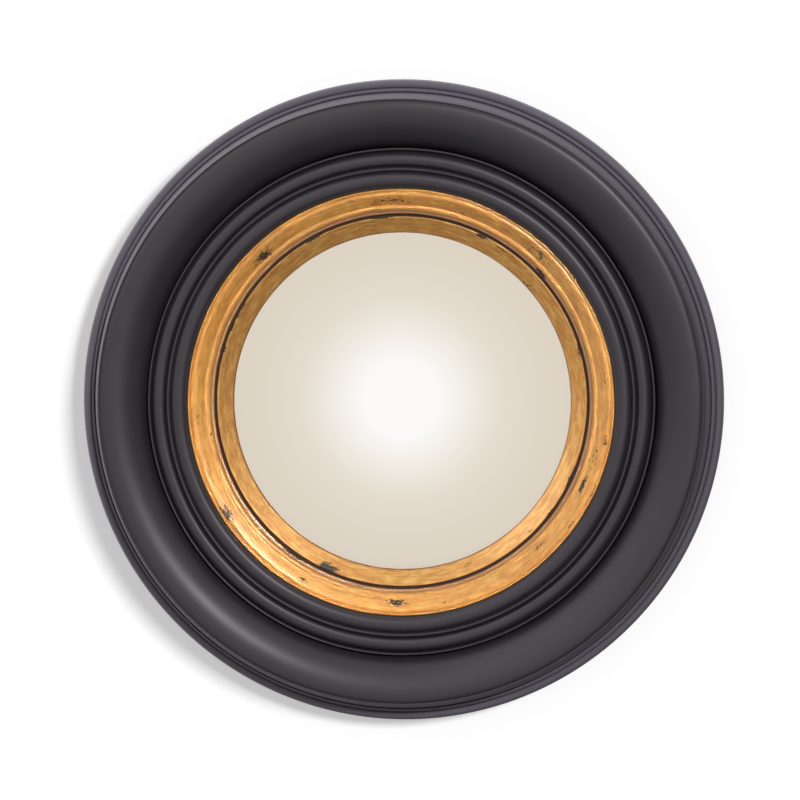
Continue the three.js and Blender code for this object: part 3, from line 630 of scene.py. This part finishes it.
# From the sight edge up the sloping face, down into the gap beside the gilt ring, out along the flange, and
# back round the glass's rim and the tape's groove.
def slipSection():
    s = slipSize
    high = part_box("inner_slip")[1]
    back, outer = -high.y / mm, high.x / mm
    foot = glassFront(sightRadius) + seatGap
    faceStart = foot + s["lip"]
    faceEnd, faceOuter = faceStart + s["faceRise"], sightRadius + s["faceWidth"]
    floor = giltBack - s["gapDepth"]
    bore = giltOuter - flangeReach - seatGap
    flange = back + s["flange"]
    rim = glassRadius + 2 * seatGap
    rimTop = glassFront(glassRadius) + s["tapeDepth"]
    step = glassRadius - s["tapeWidth"]
    stepFoot = glassFront(step)
    moves = [
        (sightRadius, faceStart), (faceOuter - s["round"], faceEnd),
        (faceOuter, faceEnd, faceOuter, faceEnd - s["round"]),
        (faceOuter, floor), (bore, floor), (bore, flange), (outer, flange), (outer, back),
        (rim, back), (rim, rimTop), (step, stepFoot + s["tapeDepth"]), (step, stepFoot + seatGap),
        (sightRadius, foot),
    ]
    return softened(traced((sightRadius, foot), moves), s["rounding"], s["points"])


section = slipSection()
faceEdge = sightRadius + slipSize["faceWidth"]
stainShadeWidth, stainShadeAll = slipSize["stainShade"]
# The face's outer edge down into the gap, and all of the slip beyond it, take the umber stain: painted shade
# in the gap.
stainShaded = stainShadedBelow(section, faceEdge - stainShadeWidth, giltOuter, giltBack)
stainShaded |= section[:, 0] > faceEdge + stainShadeAll
addTurned("inner_slip_turned", section, slipSize["sides"], [slipLeaf, stainAndGapShade], "inner_slip",
          lift=gessoWaves, wear=goldWear, faceSlots=stainShaded)
print("gilt ring and slip made")


# Two concentric spheres: radius R sin t and height R cos t above their common centre, joined by the edge.
def glassSection():
    front = glassSize["curvature"]
    back = front - glassSize["thickness"]
    lean = math.asin(glassRadius / front)
    t = np.linspace(0, lean, glassSize["points"])
    outward = np.stack([front * np.sin(t), glassCentre + front * np.cos(t)], axis=1)
    inward = np.stack([back * np.sin(t), glassCentre + back * np.cos(t)], axis=1)[::-1]
    return np.concatenate([outward, inward])


addTurned("convex_glass_domed", glassSection(), glassSize["sides"], [mirrorGlass],
          "convex_glass")
print("glass made")


# Where a small piece stands, (x, z), from the box of its CAD node.
def placeOf(node):
    low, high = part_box(node)
    return (low.x + high.x) / 2, (low.z + high.z) / 2


# Half the outline of a round disc, from the middle of its back out and round to the middle of its front.
def discSection(node, size):
    low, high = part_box(node)
    radius, back, front = (high.x - low.x) / 2 / mm, -high.y / mm, -low.y / mm
    outline = traced((0, back), [(radius, back), (radius, front), (0, front)])
    section = softened(outline, size["rounding"], size["points"], closed=False)
    section[[0, -1], 0] = 0
    return section


boardSize = {"rounding": 0.3, "points": 90, "sides": 256}
padSize = {"count": 4, "rounding": 0.35, "points": 60, "sides": 72}  # a felt pad's edge is soft and round

section = discSection("backing_board", boardSize)
addTurned("backing_board_disc", section, boardSize["sides"], [hardboard], "backing_board")
for i in range(1, padSize["count"] + 1):
    node = f"wall_pad_{i}"
    section = discSection(node, padSize)
    addTurned(f"{node}_felt", section, padSize["sides"], [felt], node, placeOf(node))

# A turn button's outline is drawn round two circles, a full one about the screw and a slimmer one at the tip.
# Its section goes down the edge, in along the underside, up the bore and out over the face, and every edge is
# a quarter circle. "aft" and "fore" are the points round the two ends.
buttonSize = {
    "count": 6, "half": 4.5, "tipHalf": 3.4, "reach": 16, "bore": 1.7, "edge": 0.28,
    "aft": 80, "fore": 60, "round": 7,
}


def buttonGrid(place, inward, low, high):
    s = buttonSize
    tipCentre = s["reach"] - s["tipHalf"]
    lean = math.asin((s["half"] - s["tipHalf"]) / tipCentre)
    aft = np.linspace(math.pi / 2 - lean, 1.5 * math.pi + lean, s["aft"])
    fore = np.linspace(-math.pi / 2 + lean, math.pi / 2 - lean, s["fore"])
    normals = np.concatenate([np.stack([np.cos(t), np.sin(t)], axis=1) for t in (aft, fore)])
    counts = [s["aft"], s["fore"]]
    centres = np.repeat([[0, 0], [tipCentre, 0]], counts, axis=0)
    halves = np.repeat([s["half"], s["tipHalf"]], counts)[:, None]
    outline = centres + normals * halves
    ring = outline / np.linalg.norm(outline, axis=1)[:, None]
    t = np.linspace(0, math.pi / 2, s["round"])
    edge = s["edge"]
    inset, drop = edge * (1 - np.sin(t)), edge * (1 - np.cos(t))
    outer = [(outline - normals * a, high - b) for a, b in zip(inset, drop)]
    outer += [(outline - normals * a, low + b) for a, b in zip(inset[::-1], drop[::-1])]
    inner = [(ring * (s["bore"] + a), low + b) for a, b in zip(inset, drop)]
    inner += [(ring * (s["bore"] + a), high - b) for a, b in zip(inset[::-1], drop[::-1])]
    # A row close inside each rounded rim keeps the faces between them flat to the eye.
    rim, lip = outline - normals * 2 * edge, ring * (s["bore"] + 2 * edge)
    rows = outer + [(rim, low), (lip, low)] + inner + [(lip, high), (rim, high)]
    flat = np.stack([points for points, _ in rows], axis=1)
    level = np.broadcast_to([height for _, height in rows], flat.shape[:2])
    spot = (flat[..., :1] * inward + flat[..., 1:] * np.array([-inward[1], inward[0]])) * mm
    return np.stack([place[0] + spot[..., 0], -level * mm, place[1] + spot[..., 1]], axis=-1)


# A pan head with a cross recess, a plain shank and a point. The recess is cut where either of two crossed
# slots is, with a sloping wall, and its floor rises outwards by a share of its depth. It is cut only within
# "crown" of the head's top.
screwSize = {
    "head": 2.8, "flat": 1.5, "headHeight": 1.6, "neck": 0.2, "shank": 1.4, "tip": 2.0,
    "rounding": 0.06, "points": 70, "longest": 0.12, "sides": 96,
}
recessSize = {"half": 0.42, "reach": 1.55, "depth": 1.0, "wall": 0.12, "rise": 0.45, "crown": 0.4}


def addScrew(name, node):
    s, cross = screwSize, recessSize
    low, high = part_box(node)
    top, tip = -high.y / mm, -low.y / mm
    seat = top + s["headHeight"]
    corners = [(s["flat"], top), (s["head"], top, s["head"], seat), (s["shank"], seat)]
    outline = traced((0, top), corners)
    head = softened(outline, s["rounding"], s["points"], closed=False, longest=s["longest"])
    shank = [(s["shank"], seat + s["neck"]), (s["shank"], tip - s["tip"])]
    point = [(s["shank"] / 2, tip - s["tip"] / 2), (0, tip)]
    section = np.concatenate([head, shank, point])
    section[0, 0] = 0

    def crossRecess(angle, radius, height):
        x, z = np.abs(radius * np.cos(angle)), np.abs(radius * np.sin(angle))
        slots = []
        for a, b in ((x, z), (z, x)):
            across = np.clip((cross["half"] - a) / cross["wall"], 0, 1)
            along = np.clip((cross["reach"] - b) / cross["wall"], 0, 1)
            slots.append(across * along)
        onTop = height < top + cross["crown"]
        return np.maximum(*slots) * onTop * cross["depth"] * (1 - cross["rise"] * radius / cross["reach"])

    addTurned(name, section, s["sides"], [zincPlate], node, placeOf(node), lift=crossRecess)


for i in range(1, buttonSize["count"] + 1):
    node, screw = f"turn_button_{i}", f"turn_button_screw_{i}"
    place = placeOf(screw)
    inward = np.array([-place[0], centreZ - place[1]])
    low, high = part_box(node)
    grid = buttonGrid(place, inward / np.linalg.norm(inward), -high.y / mm, -low.y / mm)
    addPiece(f"{node}_plate", grid, [zincPlate], node)
    addScrew(f"{screw}_cross", screw)
for screw in ("hanger_screw_1", "hanger_screw_2"):
    addScrew(f"{screw}_cross", screw)
print("board, buttons and screws made")

# The hanger: a D of round wire whose straight bar lies in a rolled eye of the strap.
hangerSize = {
    "wire": 1.5, "eye": 1.8, "strap": 1.1, "width": 12, "length": 29, "mouth": 0.5, "edge": 0.28,
    "closing": 0.1,  # radians over which the strap's rolled end thins to nothing
}
ringSize = {
    "half": 11.5, "top": 10.5, "corner": 3.5, "bow": 10.0, "rounding": 0.5, "points": 170, "sides": 28,
}
strapSteps = {"round": 25, "straight": 12, "roll": 60, "closing": 6, "corner": 7}
ringLow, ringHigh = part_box("hanger_ring")
barHeight = -(ringLow.y + ringHigh.y) / 2 / mm
barZ = ringLow.z / mm + hangerSize["wire"]


# The wire's middle line: along the bar, round two corners and over the bow.
def ringLine():
    half, top, corner, bow = (ringSize[key] for key in ("half", "top", "corner", "bow"))
    moves = [(half - corner, 0), (half, 0, half, corner), (half, top, half - bow, top), (bow - half, top)]
    moves += [(-half, top, -half, corner), (-half, 0, corner - half, 0)]
    return softened(traced((corner - half, 0), moves), ringSize["rounding"], ringSize["points"])


# A round wire about its middle line: each point goes out by (across cos a, sin a) times the wire's radius.
line = ringLine()
heading = np.roll(line, -1, axis=0) - np.roll(line, 1, axis=0)
heading /= np.linalg.norm(heading, axis=1)[:, None]
across = np.stack([heading[:, 1], -heading[:, 0]], axis=1)
turn = np.linspace(0, 2 * np.pi, ringSize["sides"] + 1)[:-1]
wire = line[:, None] + across[:, None] * np.cos(turn)[None, :, None] * hangerSize["wire"]
level = np.broadcast_to(barHeight + hangerSize["wire"] * np.sin(turn), wire.shape[:2])
grid = np.stack([wire[..., 0], -level, wire[..., 1] + barZ], axis=-1) * mm
addPiece("hanger_ring_wire", grid, [zincPlate], "hanger_ring")


# The strap follows a line seen from the side: up the flat, whose lower end is a half circle, and then round
# the bar. Across it the section is a flat oblong with round edges, which thins to nothing at both ends.
def strapGrid():
    s, steps = hangerSize, strapSteps
    middle, half, thin = s["eye"] + s["strap"] / 2, s["width"] / 2, s["strap"] / 2
    rounds = np.linspace(math.pi / 2, 0, steps["round"])
    straight = np.linspace(half - s["length"], 0, steps["straight"])[1:]
    last = 1.5 * math.pi - math.asin(s["mouth"] / (middle + thin))
    rolled = np.linspace(0, last - s["closing"], steps["roll"])[1:]
    closing = np.linspace(0, math.pi / 2, steps["closing"])[1:]
    curl = len(rolled) + len(closing)
    rise = np.concatenate([half * (1 - np.sin(rounds)) - s["length"], straight, np.zeros(curl)])
    unrolled = np.zeros(len(rounds) + len(straight))
    turn = np.concatenate([unrolled, rolled, last - s["closing"] * (1 - np.sin(closing))])
    wide = np.concatenate([half * np.cos(rounds), np.full(len(straight) + curl, half)])
    thick = thin * np.minimum(1, wide / s["edge"])
    thick[-len(closing):] *= np.cos(closing)
    edge = np.minimum(s["edge"], np.minimum(wide, thick))
    columns = []
    for quarter, (toX, toD) in enumerate([(1, 1), (-1, 1), (-1, -1), (1, -1)]):
        lean = (quarter + np.linspace(0, 1, steps["corner"])) * math.pi / 2
        midX, midD = toX * (wide - edge), toD * (thick - edge)
        corner = [(midX + edge * math.cos(a), midD + edge * math.sin(a)) for a in lean]
        flat = [(toX * np.maximum(wide - 2 * edge, 0), toD * thick)]
        columns += flat + corner if quarter % 2 else corner + flat
    x, depth = (np.stack([column[i] for column in columns], axis=1) for i in (0, 1))
    reach = middle + depth
    height = barHeight + reach * np.cos(turn)[:, None]
    z = barZ + rise[:, None] + reach * np.sin(turn)[:, None]
    return np.stack([x, -height, z], axis=-1) * mm


addPiece("hanger_plate_folded", strapGrid(), [zincPlate], "hanger_plate", closed=(False, True))

# What no one sees keeps its CAD mesh: the pins, the tape and the packing.
hidden = {"glass_bed_tape": felt, "packing_ring": cork, **{f"ring_pin_{i}": zincPlate for i in range(1, 7)}}
for node, material in hidden.items():
    for materialSlot in frame["nodes"][node].material_slots:
        materialSlot.material = material
print("back made")

cameraSet = {
    "azimuth": 4.0, "elevation": 4.0,  # the photograph looks from a little right of the axis and above it
    "distance": 2.2, "lens": 167.4, "sensor": 36.0,
    "aim": -0.017, "shift": (-0.0025, 0.0015),  # it looks at this y on the mirror's axis
}


# The camera stands back from its aim along (sin a cos e, -cos a cos e, sin e), for azimuth a and elevation e.
def placeCamera():
    c = cameraSet
    across, up = math.radians(c["azimuth"]), math.radians(c["elevation"])
    back = Vector((math.sin(across) * math.cos(up), -math.cos(across) * math.cos(up), math.sin(up)))
    data = bpy.data.cameras.new("camera")
    data.lens, data.sensor_width = c["lens"], c["sensor"]
    data.shift_x, data.shift_y = c["shift"]
    camera = addObject("camera", data)
    camera.location = Vector((0, c["aim"], centreZ)) + back * c["distance"]
    camera.rotation_mode = "QUATERNION"
    camera.rotation_quaternion = (-back).to_track_quat("-Z", "Y")
    bpy.context.scene.camera = camera


# What the camera sees of the wall is "paint" with a "glow". The flanks see a wall that is brighter towards
# "brightClock", in degrees from the right, where the window is, and brighter still close to the frame.
wallLook = {
    "half": 4.0, "y": 0.0004, "paint": "#e9e9e9", "glow": 0.36,
    "brightClock": 140, "reach": 0.28, "bounce": (0.14, 1.4),
    "near": (0.19, 0.235), "boost": 1.9,
}


# A pale wall that shows its shadow to the camera in front and lets a camera behind it look through. Its light
# on the flanks is a smooth step of the distance towards "brightClock", times a fade of the radius.
def addWall():
    look = wallLook
    half, y = look["half"], look["y"]
    mesh = bpy.data.meshes.new("wall")
    corners = [(x * half, y, centreZ + z * half) for x, z in ((-1, -1), (1, -1), (1, 1), (-1, 1))]
    mesh.from_pydata(corners, [], [(0, 1, 2, 3)])
    material, tree = newMaterial("pale_wall_paint")
    side = addNode(tree, "NewGeometry")["Backfacing"]
    paint = addNode(tree, "BsdfDiffuse", {"Color": look["paint"]})[0]
    glow = addNode(tree, "Emission", {"Color": "#ffffff", "Strength": look["glow"]})[0]
    shown = addNode(tree, "AddShader", {0: paint, 1: glow})[0]
    place = addNode(tree, "TexCoord")["Object"]
    clock, reach = math.radians(look["brightClock"]), look["reach"]
    towards = (math.cos(clock), 0, math.sin(clock))
    lift = addNode(tree, "VectorMath", {0: place, 1: towards}, operation="DOT_PRODUCT")["Value"]
    middle = centreZ * math.sin(clock)
    limits = {"Value": lift, "From Min": middle - reach, "From Max": middle + reach}
    limits["To Min"], limits["To Max"] = look["bounce"]
    bounce = addNode(tree, "MapRange", limits, interpolation_type="SMOOTHSTEP")[0]
    offset = addNode(tree, "VectorMath", {0: place, 1: (0, 0, centreZ)}, operation="SUBTRACT")[0]
    radius = addNode(tree, "VectorMath", {0: offset}, operation="LENGTH")["Value"]
    close, far = look["near"]
    limits = {"Value": radius, "From Min": close, "From Max": far, "To Min": look["boost"], "To Max": 1.0}
    near = addNode(tree, "MapRange", limits)[0]
    strength = addNode(tree, "Math", {0: bounce, 1: near}, operation="MULTIPLY")[0]
    around = addNode(tree, "Emission", {"Color": "#ffffff", "Strength": strength})[0]
    path = addNode(tree, "LightPath")["Is Camera Ray"]
    front = addNode(tree, "MixShader", {0: path, 1: around, 2: shown})[0]
    clear = addNode(tree, "BsdfTransparent")[0]
    both = addNode(tree, "MixShader", {0: side, 1: front, 2: clear})[0]
    addNode(tree, "OutputMaterial", {"Surface": both})
    mesh.materials.append(material)
    wall = addObject("wall", mesh)


# A white softbox straight ahead that fades to cream and then to the dim sides of a studio. Angles are degrees
# from the softbox's middle. Beyond "fade" the studio is bright towards the clock direction "brightSide".
studioLook = {
    "azimuth": -3.7, "elevation": -3.0, "reach": 90,
    "stops": [
        (0, "#ffffff"), (9, "#ffffff"), (14.6, "#f7f3ef"), (19.5, "#efeae1"), (24.4, "#e7e1d5"),
        (34.4, "#e2d9cb"), (44, "#e0d6c8"), (58, "#505052"), (90, "#343436"),
    ],
    "brightSide": 128, "fade": (40, 52),
    "sides": [(0.05, "#5a5856"), (0.3, "#83807e"), (0.6, "#c9c5c1"), (0.95, "#ffffff")],
    "ambient": 0.3,
}


# Glossy rays see the studio by their angle from the softbox, which is the arc cosine of a dot product. The
# camera sees white, and all other rays a dim even light.
def paintWorld():
    look = studioLook
    world = bpy.data.worlds.new("studio")
    bpy.context.scene.world = world
    world.use_nodes = True
    tree = world.node_tree
    tree.nodes.clear()
    across, up = math.radians(look["azimuth"]), math.radians(look["elevation"])
    axis = (math.sin(across) * math.cos(up), -math.cos(across) * math.cos(up), math.sin(up))
    ray = addNode(tree, "TexCoord")["Generated"]
    lean = addNode(tree, "VectorMath", {0: ray, 1: axis}, operation="DOT_PRODUCT")["Value"]
    angle = addNode(tree, "Math", {0: lean}, operation="ARCCOSINE")[0]
    share = addNode(tree, "Math", {0: angle, 1: math.radians(look["reach"])}, operation="DIVIDE")[0]
    stops = [(place / look["reach"], colour) for place, colour in look["stops"]]
    box = addNode(tree, "ValToRGB", {"Fac": share}, stops=stops)[0]
    clock = math.radians(look["brightSide"])
    towards = (math.cos(clock), 0, math.sin(clock))
    lift = addNode(tree, "VectorMath", {0: ray, 1: towards}, operation="DOT_PRODUCT")["Value"]
    height = addNode(tree, "MapRange", {"Value": lift, "From Min": -1, "From Max": 1})[0]
    sides = addNode(tree, "ValToRGB", {"Fac": height}, stops=look["sides"])[0]
    near, far = (math.radians(edge) for edge in look["fade"])
    limits = {"Value": angle, "From Min": near, "From Max": far}
    aside = addNode(tree, "MapRange", limits, interpolation_type="SMOOTHSTEP")[0]
    box = addNode(tree, "Mix", {0: aside, 6: box, 7: sides}, data_type="RGBA")[2]
    path = addNode(tree, "LightPath")
    shown = addNode(tree, "Background", {"Color": "#ffffff", "Strength": 1.0})[0]
    glossy = addNode(tree, "Background", {"Color": box, "Strength": 1.0})[0]
    soft = addNode(tree, "Background", {"Color": "#ffffff", "Strength": look["ambient"]})[0]
    plain = addNode(tree, "MixShader", {0: path["Is Glossy Ray"], 1: soft, 2: glossy})[0]
    rays = {0: path["Is Camera Ray"], 1: path["Is Transmission Ray"]}
    seen = addNode(tree, "Math", rays, operation="MAXIMUM")[0]
    both = addNode(tree, "MixShader", {0: seen, 1: plain, 2: shown})[0]
    addNode(tree, "OutputWorld", {"Surface": both})


# A collection that a lamp takes into account, or leaves out.
def linkedPieces(name, pieces, state):
    group = bpy.data.collections.new(name)
    for piece in pieces:
        group.objects.link(bpy.data.objects[piece])
    for entry in group.collection_objects:
        entry.light_linking.link_state = state
    return group


# A sun at a lean from the mirror's axis, towards a clock direction counted in degrees from the right. Its
# light falls along its own -Z, so its +Z points to where it comes from. It lights only the pieces in "lit",
# or all but those in "unlit", and shines through those in "through".
def addLamp(name, lean, clock, strength, softness, lit=(), unlit=(), through=()):
    lean, clock = math.radians(lean), math.radians(clock)
    x, z = math.sin(lean) * math.cos(clock), math.sin(lean) * math.sin(clock)
    data = bpy.data.lights.new(name, "SUN")
    data.energy, data.angle = strength, math.radians(softness)
    lamp = addObject(name, data)
    lamp.rotation_mode = "QUATERNION"
    lamp.rotation_quaternion = Vector((x, -math.cos(lean), z)).to_track_quat("Z", "Y")
    state = "INCLUDE" if lit else "EXCLUDE"
    lamp.light_linking.receiver_collection = linkedPieces(name + "_receivers", lit or unlit, state)
    if through:
        lamp.light_linking.blocker_collection = linkedPieces(name + "_blockers", through, "EXCLUDE")


placeCamera()
addWall()
paintWorld()
ring, slip, glass = "gilt_ring_turned", "inner_slip_turned", "convex_glass_domed"
addLamp("key", lean=31, clock=48, strength=1.5, softness=8, unlit=(glass, "wall"))
addLamp("fill", lean=50, clock=135, strength=0.6, softness=60, unlit=(glass, "wall", ring, slip))
addLamp("gilt_key", lean=50, clock=38, strength=0.62, softness=20, lit=(ring,))
addLamp("slip_fill", lean=54, clock=146, strength=0.8, softness=30, lit=(slip,))
addLamp("wall_light", lean=34.5, clock=30, strength=2.0, softness=12, lit=("wall",))
addLamp("rear", lean=140, clock=60, strength=1.6, softness=30, unlit=("wall", "outer_frame_turned"),
        through=("wall",))
bpy.context.scene.view_settings.view_transform = "Standard"
print("studio made")
